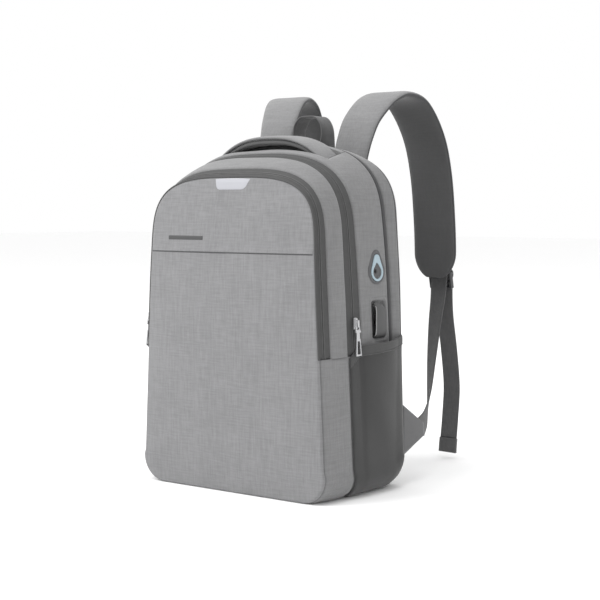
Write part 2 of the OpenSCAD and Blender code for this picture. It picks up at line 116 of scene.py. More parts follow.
def add_node(nt, kind, inputs, **settings):
    """The outputs of a new shader node. inputs maps its sockets to values or to other nodes' outputs."""
    n = nt.nodes.new("ShaderNode" + kind)
    for key, value in settings.items():
        setattr(n, key, value)
    for socket, value in inputs.items():
        if isinstance(value, bpy.types.NodeSocket):
            nt.links.new(value, n.inputs[socket])
        else:
            n.inputs[socket].default_value = value
    return n.outputs


def calc(nt, op, *values):
    return add_node(nt, "Math", dict(enumerate(values)), operation=op)[0]


def attribute(nt, name):
    return add_node(nt, "Attribute", {}, attribute_name=name)["Fac"]


def coords(nt):
    return add_node(nt, "TexCoord", {})["Object"]


def noise(nt, coord, scale, stretch=(1, 1, 1), detail=3.0, rough=0.6):
    at = add_node(nt, "Mapping", {"Vector": coord, "Scale": stretch})[0]
    inputs = {"Vector": at, "Scale": scale, "Detail": detail, "Roughness": rough}
    return add_node(nt, "TexNoise", inputs)["Fac"]


def tint(nt, b, rgb, fac, amp):
    """Base colour that runs from rgb less a share amp to rgb more the same share."""
    dark, light = [c * (1 - amp) for c in rgb], [min(1, c * (1 + amp)) for c in rgb]
    mixed = add_node(nt, "Mix", {0: fac, 6: (*dark, 1), 7: (*light, 1)}, data_type="RGBA")
    nt.links.new(mixed[2], b.inputs["Base Color"])


def bump(nt, b, height, strength, distance):
    n = add_node(nt, "Bump", {"Strength": strength, "Distance": distance, "Height": height})
    nt.links.new(n[0], b.inputs["Normal"])


def melange(name, rgb, amp=0.16, pitch=1.1, rough=0.9, streak=1.0):
    """Woven two-tone cloth: level and upright slubs, soft patches, and the weave's own relief."""
    m, nt, b = shader(name, rgb, rough, sheen=0.25, spec=0.25)
    co = coords(nt)
    level = noise(nt, co, 40, (1, 1, 14), 4.0, 0.62)
    upright = noise(nt, co, 40, (12, 12, 1), 4.0, 0.62)
    patch = noise(nt, co, 24, detail=2.0)
    f = calc(nt, "ADD", level, upright)
    f = calc(nt, "MULTIPLY_ADD", f, 2.0 * streak, 0.5 - 2.0 * streak)
    f = calc(nt, "ADD", f, calc(nt, "MULTIPLY_ADD", patch, 0.7, -0.35))
    n = calc(nt, "MINIMUM", calc(nt, "MAXIMUM", f, 0.0), 1.0)
    tint(nt, b, rgb, n, amp)
    x, y, z = add_node(nt, "SeparateXYZ", {0: co})
    k = 2 * pi / (pitch * MM)
    u = calc(nt, "SINE", calc(nt, "MULTIPLY", calc(nt, "ADD", x, y), k))
    v = calc(nt, "SINE", calc(nt, "MULTIPLY", z, k))
    h = calc(nt, "ADD", calc(nt, "MULTIPLY", u, v), calc(nt, "MULTIPLY", f, 1.6))
    bump(nt, b, h, 0.22, 0.0004)
    return m


def ribbed(name, rgb, along=1.7, across=2.4, amp=0.18, rough=0.75, strength=0.5, sheen=0.15):
    """Woven tape or webbing: ribs along and across it, read from the mesh's own run and width."""
    m, nt, b = shader(name, rgb, rough, sheen=sheen, spec=0.2)
    s = attribute(nt, "run")
    t = attribute(nt, "width")
    a = calc(nt, "SINE", calc(nt, "MULTIPLY", s, 2 * pi / along))
    c = calc(nt, "SINE", calc(nt, "MULTIPLY", t, 2 * pi / across))
    h = calc(nt, "ADD", calc(nt, "MULTIPLY", a, c), calc(nt, "MULTIPLY", c, 0.7))
    fac = calc(nt, "MULTIPLY_ADD", h, 0.16, noise(nt, coords(nt), 160))
    tint(nt, b, rgb, fac, amp)
    bump(nt, b, h, strength, 0.0003)
    return m


def airmesh(name, rgb, cell=2.6):
    """Spacer mesh: small round holes with a raised net between them."""
    m, nt, b = shader(name, rgb, 0.92, sheen=0.3, spec=0.2)
    v = add_node(nt, "TexVoronoi", {"Vector": coords(nt), "Scale": 1 / (cell * MM), "Randomness": 0.35})
    h = calc(nt, "MINIMUM", calc(nt, "MULTIPLY", v["Distance"], 1.7), 1.0)
    tint(nt, b, rgb, h, 0.3)
    bump(nt, b, h, 0.5, 0.0006)
    return m


def moulded(name, rgb, rough=0.5, grain=900, strength=0.12, metallic=0.0, amp=0.08):
    """Moulded plastic, rubber or plated metal: a fine grain, and gloss that varies softly."""
    m, nt, b = shader(name, rgb, rough, metallic=metallic)
    co = coords(nt)
    n = noise(nt, co, grain, detail=2.0)
    wide = noise(nt, co, 55)
    tint(nt, b, rgb, wide, amp)
    r = add_node(nt, "MapRange", {0: wide, 3: max(0.05, rough - 0.08), 4: rough + 0.1})
    nt.links.new(r[0], b.inputs["Roughness"])
    bump(nt, b, n, strength, 0.0002)
    return m


PANEL = melange("panel_cloth", (0.197, 0.197, 0.201), amp=0.125)
# gusset cloth: the panel's cloth set a little darker, painted shade for faces turned from the key light
GUSSET = melange("gusset_cloth", (0.177, 0.177, 0.179), amp=0.11)
STRAP = melange("strap_cloth", (0.184, 0.184, 0.186), amp=0.11)
DARK = melange("dark_cloth", (0.105, 0.105, 0.107), amp=0.1, streak=0.5)
POCKET = melange("pocket_cloth", (0.045, 0.045, 0.045), amp=0.09, streak=0.5)
HEM = ribbed("pocket_hem", (0.066, 0.066, 0.066), 1.4, 3.2, 0.1, 0.8, 0.25)
TAPE = ribbed("zip_tape", (0.073, 0.073, 0.073), 1.2, 1.6, 0.12, 0.8, 0.25, 0.0)
COIL = ribbed("zip_coil", (0.1, 0.1, 0.1), 1.5, 30, 0.2, 0.7, 0.5, 0.0)
LINING = melange("lining", (0.07, 0.07, 0.073), amp=0.08, pitch=0.7, streak=0.4)
WELL = melange("grip_lining", (0.10, 0.10, 0.10), amp=0.08, pitch=0.8, streak=0.4)
SEAM = ribbed("seam_binding", (0.07, 0.07, 0.072), 1.6, 2.0, 0.12, 0.8, 0.4)
WEB = ribbed("webbing", (0.095, 0.095, 0.096))
LOOP = ribbed("loop_webbing", (0.10, 0.10, 0.101))
MESH = airmesh("air_mesh", (0.062, 0.062, 0.064))
PAD = airmesh("pad_mesh", (0.05, 0.05, 0.052), 3.2)
STRAP_IN = melange("strap_lining", (0.074, 0.074, 0.075), amp=0.1, pitch=0.9, streak=0.5)
THREAD_DARK = moulded("thread_dark", (0.06, 0.06, 0.062), 0.8, 2500, 0.2)
METAL = moulded("satin_nickel", (0.56, 0.56, 0.57), 0.38, 1600, 0.05, 1.0, 0.05)
LOCK = moulded("lock_plastic", (0.035, 0.035, 0.037), 0.42, 1200, 0.15)
RUBBER = moulded("port_rubber", (0.085, 0.085, 0.088), 0.55, 1400, 0.15)
HOOD = moulded("cover_rubber", (0.072, 0.072, 0.073), 0.6, 1400, 0.15)
INLAY = moulded("inlay_plastic", (0.33, 0.42, 0.47), 0.4, 1500, 0.08)
# pale rubber for the hood's lip bead: a painted highlight along its open edge
RIM_HIGHLIGHT = moulded("cover_rim_highlight", (0.3, 0.3, 0.3), 0.5, 1400, 0.1)
SOCKET = moulded("socket_plastic", (0.085, 0.085, 0.087), 0.4, 1500, 0.1)
CONTACT = moulded("socket_metal", (0.7, 0.7, 0.7), 0.3, 1500, 0.05, 1.0, 0.05)
FILM = moulded("reflective_film", (0.36, 0.364, 0.39), 0.45, 1700, 0.12, 0.0, 0.03)
BAR = moulded("bar_print", (0.05, 0.05, 0.051), 0.6, 1700, 0.15)

# ---- outlines of the bag, front to back
# half widths at 0 and 300 mm up, height, top corner's height and roundness, base radius, y, lean at the top
FY = -73.0
LA = np.array([139, 124, 378, 80, 3.4, 32, FY, 6.0])
LB = np.array([143, 127, 389, 88, 3.2, 30, FY + 21, 1.0])
LC = np.array([145, 130, 402, 98, 3.05, 26, FY + 52, -5.0])
LD = np.array([149, 133, 408, 90, 2.9, 28, FY + 76, -14.0])
LE = np.array([153, 138, 421, 92, 2.9, 30, FY + 131, -20.0])
LF = np.array([155, 146, 416, 80, 2.8, 42, FY + 148, -18.0])
LG = np.array([144, 136, 404, 72, 2.7, 36, FY + 159, -8.0])
FOLD_Z, LOW_Z = 168.0, 120.0               # the front panels are cut in two at FOLD_Z; LOW_Z is a lower height
FOLD = ((0, 0, LOW_Z), (0, 0, FOLD_Z))
BASE_N, CORNER_N, FOOT_N, STEP, FOOT_Z = 8, 13, 3, 4, 60   # points and spacing low on an outline


def mix(p, q, f):
    return p * (1 - f) + q * f


def wz(L, z):
    return L[0] + (L[1] - L[0]) * z / 300


def yz(L, z):
    z = np.asarray(z, float)
    return L[6] + np.where(z > 220, L[7] * ((z - 220) / (L[2] - 220)) ** 2, 0)


def half(L):
    """Right half of an outline, from the middle of its base over the side to the middle of its top."""
    r, z1, e = L[5], L[2] - L[3], 2 / L[4]
    w0 = L[0]
    pts = [((w0 - r) * k / BASE_N, 0.0) for k in range(BASE_N)]
    pts += [(w0 - r + r * sin(a), r - r * cos(a)) for a in np.linspace(0, pi / 2, CORNER_N)]
    pts += [(wz(L, z), z) for z in np.linspace(r, FOOT_Z, FOOT_N + 2)[1:-1]]
    pts += [(wz(L, z), z) for z in np.arange(FOOT_Z, 281, STEP)]
    pts += [(wz(L, z), z) for z in np.linspace(280, z1, 6)[1:]]
    for k in range(1, 45):
        t = k / 44
        g = t ** 1.6 / (t ** 1.6 + (1 - t) ** 1.6)
        a = g * pi / 2
        z = z1 + L[3] * sin(a) ** e
        pts.append((wz(L, z) * max(0.0, cos(a)) ** e if k < 44 else 0.0, z))
    return np.array(pts)


HALF_N = len(half(LA))
I_FOLD = BASE_N + CORNER_N + FOOT_N + int((FOLD_Z - FOOT_Z) / STEP)


def ring(L, out=0.0):
    h = half(L)
    loop = np.vstack([h, (h * [-1, 1])[-2:0:-1]])
    t = np.roll(loop, -1, 0) - np.roll(loop, 1, 0)
    n = np.stack([t[:, 1], -t[:, 0]], 1)
    n /= np.linalg.norm(n, axis=1)[:, None]
    o = np.asarray(out, float)
    p = loop + n * (o[:, None] if o.ndim else o)
    return np.stack([p[:, 0], yz(L, loop[:, 1]), p[:, 1]], 1), np.stack([n[:, 0], 0 * n[:, 0], n[:, 1]], 1)


def waves(P, amp, length, seed):
    """Soft irregular lift, the same every run."""
    rng = np.random.default_rng(seed)
    k = rng.normal(size=(3, 9))
    k = k / np.linalg.norm(k, axis=0) * (2 * pi / length) * rng.uniform(0.5, 1.6, 9)
    return amp * 0.55 * np.sin(P @ k + rng.uniform(0, 6.28, 9)).sum(-1) / 1.6


def roll(f, width, r, base, top, puff=0.0):
    """Height of a cloth strip across its width: edges turned down over radius r, with an optional crown."""
    f = np.asarray(f, float)
    d = np.minimum(f, 1 - f) * width
    q = np.clip(d / r, 0, 1)
    return base + (top - base) * np.sqrt(1 - (1 - q) ** 2) + puff * np.sin(pi * f)


def eased(n):
    return 0.5 - 0.5 * np.cos(np.linspace(0, pi, n))


def band_rows(p, q, fs, outs, part="full", lift=0.0, length=45, seed=3):
    rows, count = [], 2 * HALF_N - 2
    if part == "upper":
        idx = np.arange(I_FOLD, count - I_FOLD + 1)
    elif part == "lower":
        idx = np.arange(count - I_FOLD, count + I_FOLD + 1) % count
    else:
        idx = np.arange(count)
    for f, o in zip(fs, outs):
        P, N = ring(mix(p, q, f), 0.0)
        w = np.full(len(P), float(o))
        if lift:
            w = w + waves(P, lift, length, seed) * sin(pi * min(max(f, 0), 1)) ** 0.5
        rows.append((P + N * w[:, None])[idx])
    return np.array(rows)


# ---- mesh making
def finish_mesh(name, verts, faces, mats, ids=None, centre=(0, 0, 190), sharp=None, run=None, width=None):
    v = np.array(verts, float)
    v[:, 2] = np.maximum(v[:, 2], 0.1)
    me = bpy.data.meshes.new(name)
    tri = [f for f in faces if len(set(f)) >= 3]
    c = np.array(centre, float)
    total = 0.0
    for f in tri[:: max(1, len(tri) // 400)]:
        a, b, d = v[f[0]], v[f[1]], v[f[2]]
        total += float(np.dot(np.cross(b - a, d - a), (a + b + d) / 3 - c))
    if total < 0:
        tri = [tuple(reversed(f)) for f in tri]
    me.from_pydata((v * MM).tolist(), [], tri)
    for m in mats:
        me.materials.append(m)
    if ids is not None:
        me.polygons.foreach_set("material_index", np.asarray(ids, np.int32))
    for key, data in (("run", run), ("width", width)):
        if data is not None:
            at = me.attributes.new(key, "FLOAT", "POINT")
            at.data.foreach_set("value", np.asarray(data, np.float32).ravel())
    me.validate()
    me.shade_smooth()
    if sharp:
        me.set_sharp_from_angle(angle=radians(sharp))
    return add_object(name, me)


def make(name, P, mats, wrap_u=False, wrap_v=False, cap0=False, cap1=False, tube=False, skip=None, pick=None,
         **more):
    """Mesh from rows of points. wrap_u joins the last row to the first, wrap_v the last column to the first;
    tube is wrap_v with both ends closed."""
    if tube:
        wrap_v = cap0 = cap1 = True
    m, n = P.shape[:2]
    verts = list(P.reshape(-1, 3))
    faces, ids = [], []
    for i in range(m if wrap_u else m - 1):
        for j in range(n if wrap_v else n - 1):
            if skip is not None and skip[i, j]:
                continue
            a, b = i * n + j, i * n + (j + 1) % n
            c, d = ((i + 1) % m) * n + (j + 1) % n, ((i + 1) % m) * n + j
            faces.append((a, b, c, d))
            ids.append(int(pick[i, j]) if pick is not None else 0)
    for cap, row in ((cap0, 0), (cap1, m - 1)):
        if cap:
            k = len(verts)
            verts.append(P[row].mean(0))
            for j in range(n if wrap_v else n - 1):
                a, b = row * n + j, row * n + (j + 1) % n
                faces.append((b, a, k) if row == 0 else (a, b, k))
                ids.append(0)
    du = np.linalg.norm(np.diff(P, axis=0), axis=2).mean(1)
    dv = np.linalg.norm(np.diff(P, axis=1), axis=2).mean(0)
    across = np.concatenate([[0], np.cumsum(du)])
    along = np.concatenate([[0], np.cumsum(dv)])
    extra = len(verts) - m * n
    run = np.concatenate([np.broadcast_to(along, (m, n)).ravel(), np.zeros(extra)])
    width = np.concatenate([np.broadcast_to(across[:, None], (m, n)).ravel(), np.zeros(extra)])
    if more.pop("turn", False):
        run, width = width, run
    return finish_mesh(name, verts, faces, mats, ids, run=run, width=width, **more)


def thicken(o, t, inner=False):
    """Gives a sheet its thickness, inward. inner puts the second material on its back and rim."""
    md = o.modifiers.new("thickness", "SOLIDIFY")
    md.thickness = t * MM
    md.offset = -1
    md.use_even_offset = True
    if inner:
        md.material_offset = 1
        md.material_offset_rim = 1
    return o


def place(o, body, slot, *nodes):
    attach(o, body)
    if nodes:
        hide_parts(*nodes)
    return o


def bend(o, a, b, start, end, slot, *nodes):
    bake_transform(o)
    if nodes:
        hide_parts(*nodes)
    return o


def spline(points, per):
    p = np.array(points, float)
    out = []
    for i in range(len(p) - 1):
        a, b, c, d = p[max(i - 1, 0)], p[i], p[i + 1], p[min(i + 2, len(p) - 1)]
        for k in range(per):
            t = k / per
            out.append(0.5 * (2 * b + (c - a) * t + (2 * a - 5 * b + 4 * c - d) * t * t
                              + (3 * b - a - 3 * c + d) * t ** 3))
    out.append(p[-1])
    return np.array(out)


def sweep(path, dirs, prof):
    """Carries a section along a path. prof(run, length) gives its (across, up) points; dirs point across."""
    dirs = np.asarray(dirs, float)
    t = np.gradient(path, axis=0)
    t /= np.linalg.norm(t, axis=1)[:, None]
    u = dirs - t * (dirs * t).sum(1)[:, None]
    u /= np.linalg.norm(u, axis=1)[:, None]
    n = np.cross(t, u)
    s = run_of(path)
    return np.array([path[i] + np.outer(q[:, 0], u[i]) + np.outer(q[:, 1], n[i])
                     for i in range(len(path)) for q in [prof(s[i], s[-1])]])


def flip_x(P, s):
    return P * [s, 1, 1]


def stitches(name, path, normals, body, slot, mat, pitch=3.4, length=2.2, wide=0.55, high=0.5):
    """A row of separate thread stitches along a path, lying on the cloth."""
    path = np.asarray(path, float)
    s = run_of(path)
    at = np.arange(pitch, s[-1] - pitch / 2, pitch)
    verts, faces = [], []

    def at_run(data, a):
        return np.array([np.interp(a, s, data[:, k]) for k in range(3)])

    for a in at:
        c = at_run(path, a)
        e = at_run(path, a + 0.5)
        n = at_run(normals, a)
        t = (e - c) / np.linalg.norm(e - c)
        b = np.cross(t, n)
        k = len(verts)
        verts += [c + t * length / 2 - n * 0.25, c - t * length / 2 - n * 0.25, c + b * wide, c - b * wide,
                  c + n * high, c - n * 0.3]
        for x, y in ((0, 2), (2, 1), (1, 3), (3, 0)):
            faces += [(k + x, k + y, k + 4), (k + y, k + x, k + 5)]
    me = bpy.data.meshes.new(name)
    me.from_pydata((np.array(verts) * MM).tolist(), [], faces)
    me.materials.append(mat)
    me.shade_smooth()
    o = add_object(name, me)
    bm = bmesh.new()
    bm.from_mesh(me)
    bmesh.ops.recalc_face_normals(bm, faces=bm.faces)
    bm.to_mesh(me)
    bm.free()
    place(o, body, slot)


# ---- front panel
def panel_rows(L, edge, turn, bulge, s, lift, seed, back=0.0):
    """Turned edge, then rings in to the middle. s is -1 for a panel facing the front and 1 for the back."""
    rows = []
    for a in np.linspace(0, pi / 2, 6):
        rows.append(ring(L, -edge - turn + turn * cos(a))[0] + [0, -s * (turn - turn * sin(a)) + s * back, 0])
    base = ring(L, -edge - turn)[0]
    for f in (0.985, 0.96, 0.92, 0.87, 0.8, 0.71, 0.6, 0.48, 0.35, 0.22, 0.1, 0.03):
        z = 185 + (base[:, 2] - 185) * f
        x = base[:, 0] * f
        y = yz(L, z) + s * bulge * (1 - f ** 4)
        P = np.stack([x, y, z], 1)
        P[:, 1] += s * (waves(P, lift, 150, seed) * min(1, (1 - f) * 6) + back)
        rows.append(P)
    return np.array(rows)


def split_level(o, z, names, thick):
    """Cuts a mesh at a height into two closed shells whose outer faces keep the shading of the uncut mesh."""
    bm = bmesh.new()
    bm.from_mesh(o.data)
    for level in (*range(int(z) - 52, int(z) + 24, 4), z):
        bmesh.ops.bisect_plane(bm, geom=bm.verts[:] + bm.edges[:] + bm.faces[:], dist=1e-7,
                               plane_co=(0, 0, level * MM), plane_no=(0, 0, 1))
    bm.normal_update()
    bm.verts.ensure_lookup_table()
    co = [v.co.copy() for v in bm.verts]
    no = [v.normal.copy() for v in bm.verts]
    faces = [([v.index for v in f.verts], f.calc_center_median().z > z * MM) for f in bm.faces]
    bm.free()
    mats = list(o.data.materials)
    bpy.data.objects.remove(o)
    made = []
    for name, upper in zip(names, (False, True)):
        mine = [f for f, high in faces if high == upper]
        used = sorted({i for f in mine for i in f})
        at = {i: k for k, i in enumerate(used)}
        n = len(used)
        verts = [co[i] for i in used] + [co[i] - no[i] * thick * MM for i in used]
        norms = [no[i] for i in used] + [-no[i] for i in used]
        out, ids = [[at[i] for i in f] for f in mine], [0] * len(mine)
        edges = {(a, b) for f in out for a, b in zip(f, f[1:] + f[:1])}
        out += [[i + n for i in reversed(f)] for f in out]
        ids += [len(mats) - 1] * len(mine)
        for a, b in sorted(e for e in edges if (e[1], e[0]) not in edges):
            k = len(verts)
            verts += [verts[a], verts[b], verts[b + n], verts[a + n]]
            e = (verts[k + 2] - verts[k]).cross(verts[k + 1] - verts[k])
            norms += [e.normalized() if e.length else Vector((0, 0, -1))] * 4
            out.append([k + 1, k, k + 3, k + 2])
            ids.append(len(mats) - 1)
        me = bpy.data.meshes.new(name)
        me.from_pydata(verts, [], out)
        for m in mats:
            me.materials.append(m)
        me.polygons.foreach_set("material_index", ids)
        me.shade_smooth()
        me.normals_split_custom_set_from_vertices([tuple(v) for v in norms])
        made.append(add_object(name, me))
    return made


whole = make("front_cloth", panel_rows(LA, 0.3, 3.2, 3.8, -1, 0.5, 11), [PANEL, LINING],
             wrap_v=True, cap1=True, centre=(0, 60, 190))
skin = BVHTree.FromPolygons([v.co.copy() for v in whole.data.vertices],
                            [tuple(q.vertices) for q in whole.data.polygons])
low, high = split_level(whole, FOLD_Z, ("front_panel_low", "front_panel_high"), 1.6)
bend(low, "bag", "front_section", *FOLD, "panel_cloth", "front_panel_lower", "front_panel_fold")
bend(high, "front_section", "front_flap", (0, 0, FOLD_Z), (0, 0, FOLD_Z + 16), "panel_cloth",
     "front_panel_upper")


def front_y(x, z):
    """Depth of the front panel's face at a point."""
    hit = skin.ray_cast(Vector((x * MM, -0.3, z * MM)), Vector((0, 1, 0)))[0]
    return hit.y / MM if hit else float(yz(LA, z)) + 2.5


def on_front(name, rows, mats):
    P = np.array([[[x, front_y(x, z) - o, z] for x, z, o in row] for row in rows])
    return make(name, P, mats, centre=(0, 60, 190))


# covered pocket opening: a lip a little proud of the cloth, over a dark line that is the opening's dark
# inside and the lip's painted shadow, wider on the left
WELT_Z = 289
lip, slit_and_shadow = [], []
span = np.linspace(-1, 1, 61)
for dz, o in ((10, -0.25), (7, 0.12), (4, 0.42), (1.6, 0.78), (0.5, 0.95), (0, 0.85), (-0.15, 0.4),
              (0, -0.4)):
    lip.append([(x * (wz(LA, WELT_Z) - 2.6), WELT_Z + dz, o * (1 if abs(x) < 0.97 else 0.5)) for x in span])
# the dark line reaches lower on the left: painted shadow of the lip
for dz, o in ((0.6, 0.35), (-0.5, 0.24), (-1.5, 0.18), (-1.9, -0.2)):
    slit_and_shadow.append([(x * (wz(LA, WELT_Z) - 2.8), WELT_Z + dz - 0.3 * (x < 0) * (1 - abs(x)), o) for x in span])
place(on_front("welt_edge", lip, [PANEL]), "front_flap", "panel_cloth", "welt_lip")
place(on_front("welt_line", slit_and_shadow, [LINING]), "front_flap", "zip_coil", "welt_slit")

# pale film patch under the top edge, wider at its top
patch = []
for v in np.linspace(0, 1, 17):
    z = 376.3 - 13.4 * v
    xa, xb = -24 + 3.0 * v, 28.5 - 7.5 * v
    cut = 4.6 * (1 - sqrt(max(0, 1 - max(0, (v - 0.62) / 0.38) ** 2)))
    patch.append([(xa + cut + (xb - xa - 2 * cut) * u, z - 0.0011 * (xa + (xb - xa) * u) ** 2 * (1 - v),
                   0.55 * min(1, 6 * min(u, 1 - u, 1 - v + 0.02) + 0.25)) for u in np.linspace(0, 1, 25)])
place(on_front("film_patch", patch, [FILM]), "front_flap", "reflective_film", "reflective_patch")

# plain bar in place of lettering
bar = []
for v in np.linspace(-1, 1, 7):
    bar.append([(-66 + 28 * u * (1 if abs(v) < 0.9 else 0.985), 305.2 + 2.5 * v,
                 0.5 * (1 - abs(v) ** 6) * (1 - abs(u) ** 30)) for u in np.linspace(-1, 1, 41)])
place(on_front("plain_bar", bar, [BAR]), "front_flap", "bar_print", "name_bar")


# ---- zips: two tape halves that meet over a hidden coil
def tape(name, p, q, f0, f1, body, node, coil):
    fs = np.linspace(f0, f1, 15)
    width = q[6] - p[6]
    edge = np.abs(fs - 0.5) * width
    outs = -1.5 + 0.25 * np.exp(-((edge - 2.0) / 1.4) ** 2) - 0.5 * np.exp(-(edge / 0.6) ** 2)
    o = make(name, band_rows(p, q, fs, outs, "upper"), [TAPE])
    place(thicken(o, 0.9), body, "zip_tape", node)
    t = around(10)
    mid = 0.5 + (1.5 / width) * (1 if f0 > 0.5 else -1)
    rows = band_rows(p, q, mid + 0.6 * np.cos(t) / width, -1.05 + 0.42 * np.sin(t), "upper")
    c = make(coil[0], rows, [COIL], wrap_u=True)
    place(c, body, "zip_coil", coil[1])


tape("front_tape_flap", LA, LB, 0.13, 0.497, "front_flap", "front_tape_inner",
     ("front_coil_flap", "front_coil_inner"))
tape("front_tape_body", LA, LB, 0.503, 1.03, "front_section", "front_tape_outer",
     ("front_coil_body", "front_coil_outer"))
tape("main_tape_fore", LC, LD, -0.03, 0.497, "front_section", "main_tape_front",
     ("main_coil_fore", "main_coil_front"))
tape("main_tape_aft", LC, LD, 0.503, 1.03, "bag", "main_tape_rear",
     ("main_coil_aft", "main_coil_rear"))

# ---- gussets
def cloth_strip(name, p, q, n, shape, part, lift, mats, **more):
    """Cloth between two outlines, turned down at both edges: n steps, roll()'s shape, and waves()'s lift."""
    f = eased(n)
    return make(name, band_rows(p, q, f, roll(f, *shape), part, *lift), mats, **more)


o = cloth_strip("front_gusset_high", LB, LC, 19, (31, 2.2, -1.9, 0.35, 0.9), "upper", (0.35, 60, 5),
                [GUSSET, LINING])
place(thicken(o, 1.6, True), "front_section", "gusset_cloth", "front_gusset_upper")

# the front gusset's low part runs on under the main zip as far as the fold
f = eased(19)
A0, LM = mix(LA, LC, 0.078), mix(LC, LD, 0.5)
rows = band_rows(A0, LC, f, roll(f, 49, 2.8, -2.8, 0.35, 0.9), "lower", 0.35, 60, 5)
under = band_rows(LC, LM, [0.12, 0.5, 1.0], [-0.8, -0.6, -1.4], "lower")
o = make("front_gusset_low", np.concatenate([rows[:-2], under]), [GUSSET, LINING])
thicken(o, 1.6, True)
bend(o, "bag", "front_section", *FOLD, "gusset_cloth", "front_gusset_lower", "front_gusset_fold")
o = make("front_seam_low", band_rows(LA, LC, [0.03, 0.05, 0.07, 0.095], [-1.9, -1.0, -1.0, -1.9], "lower"),
         [THREAD_DARK])
bend(o, "bag", "front_section", *FOLD, "seam_binding")
# a thin dark tube round the panel's edge, darkening the line where panel meets tape
a = around(8)
o = make("panel_edge_dark_line", band_rows(LA, LB, 0.075 + 0.05 * np.cos(a), -0.55 + 0.95 * np.sin(a), "upper"),
         [TAPE], wrap_u=True)
place(o, "front_flap", "zip_tape")
o = cloth_strip("base_gusset", LM, LD, 13, (12, 2.0, -1.6, 0.2, 0.2), "lower", (0.2, 60, 6), [POCKET, LINING])
place(thicken(o, 1.6, True), "bag", "gusset_cloth", "lower_gusset")

# main gusset, with holes for the ports and a sunk grip under the handle
PORT_Y, PORT_Z = 35, 271
USB_Y, USB_Z = 37, 208
GRIP_F0, GRIP_F1, GRIP_HALF, GRIP_Z, GRIP_DEPTH = 0.235, 0.83, 92, 380, 15
fs = np.linspace(0, 1, 37)
main = band_rows(LD, LE, fs, roll(fs, 55, 2.2, -1.9, 0.25, 1.0), "full", 0.4, 70, 8)
f_mid = 0.5 * (fs[1:] + fs[:-1])
mid = 0.25 * (main[1:] + main[:-1] + np.roll(main, -1, 1)[1:] + np.roll(main, -1, 1)[:-1])
hole = (mid[..., 0] > 0) & (np.abs(mid[..., 1] - USB_Y) < 14.5) & (np.abs(mid[..., 2] - USB_Z) < 24)
hole |= (mid[..., 0] > 0) & ((mid[..., 1] - PORT_Y) ** 2 + (mid[..., 2] - PORT_Z + 3) ** 2 < 11 ** 2)
top = (main[..., 2] > GRIP_Z) & (np.abs(main[..., 0]) < GRIP_HALF)
depth = np.clip((fs - GRIP_F0) / 0.05, 0, 1) * np.clip((GRIP_F1 - fs) / 0.05, 0, 1)
sink = np.where(top, np.clip((GRIP_HALF - np.abs(main[..., 0])) / 14, 0, 1) * depth[:, None], 0)
main[..., 2] -= GRIP_DEPTH * sink * sink * (3 - 2 * sink)
grip = ((f_mid > GRIP_F0) & (f_mid < GRIP_F1))[:, None] & (mid[..., 2] > GRIP_Z)
grip &= np.abs(mid[..., 0]) < GRIP_HALF - 2
pick = np.where(grip, 2, 0)
o = make("main_gusset_cloth", main, [GUSSET, LINING, WELL], wrap_v=True, skip=hole, pick=pick)
place(thicken(o, 1.6, True), "bag", "gusset_cloth", "main_gusset", "handle_well")

for s in (1, -1):
    j = int(np.argmin(np.abs(main[10, :, 0] - s * 91) + 1000 * (main[10, :, 2] < 380)))
    line = main[9:36, j]
    step = np.array([0.45 * s, 0, -0.12])
    P = np.array([line - step + [0, 0, 0.05], line + [0, 0, 0.3], line + step + [0, 0, 0.05]])
    o = make("handle_end_seam_" + ("right" if s > 0 else "left"), P, [THREAD_DARK], centre=(0, 20, 300))
    place(o, "bag", "seam_binding")
f = eased(9)
o = make("side_seam_piping", band_rows(LE, mix(LE, LF, 0.27), f, -1.9 + 2.0 * np.sin(pi * f) ** 0.6), [SEAM],
         wrap_v=True)
place(thicken(o, 1.2), "bag", "seam_binding", "side_seam")
o = cloth_strip("rear_gusset_cloth", mix(LE, LF, 0.25), LF, 11, (14, 2.0, -1.7, 0.2, 0.4), "full",
                (0.2, 60, 9), [GUSSET, LINING], wrap_v=True)
place(thicken(o, 1.6, True), "bag", "gusset_cloth", "rear_gusset")
o = cloth_strip("back_edge_cloth", LF, LG, 11, (15, 1.6, -1.3, 0.6, 0.8), "full", (0.2, 60, 10),
                [DARK, LINING], wrap_v=True)
place(thicken(o, 1.6, True), "bag", "dark_cloth", "back_edge")

# ---- inner walls
o = make("pocket_divider", panel_rows(LC, 3.2, 0.8, 1.0, -1, 0.6, 21, back=1.5), [LINING],
         wrap_v=True, cap1=True, centre=(0, 60, 190))
low, high = split_level(o, FOLD_Z, ("divider_low", "divider_high"), 1.2)
bend(low, "bag", "front_section", *FOLD, "lining", "divider_lower")
place(high, "front_section", "lining", "divider_upper")

LS = mix(LD, LE, 0.89)
o = make("laptop_sleeve", panel_rows(LS, 5.0, 1.0, 0.0, -1, 0.5, 22, back=4.5), [LINING],
         wrap_v=True, cap1=True, centre=(0, 100, 150))
low, high = split_level(o, 300, ("laptop_sleeve_wall", "sleeve_waste"), 4.0)
bpy.data.objects.remove(high)
place(low, "bag", "lining", "laptop_divider")
edge = np.array([[x * (wz(LS, 300) - 7), yz(LS, 300) - 2.2, 300.0] for x in np.linspace(-1, 1, 60)])
ang = around(12)
P = sweep(edge, (0, 1, 0), lambda s, e: np.stack([3.0 * np.cos(ang), 2.2 * np.sin(ang)], 1))
place(make("sleeve_binding", P, [SEAM], tube=True, centre=(0, 50, 300), turn=True), "bag", "seam_binding")

# ---- back
o = make("back_board", panel_rows(LG, 1.5, 2.0, 2.6, 1, 0.3, 31), [MESH, LINING], wrap_v=True, cap1=True,
         centre=(0, 0, 190))
place(thicken(o, 3.5, True), "bag", "mesh_foam", "back_panel")


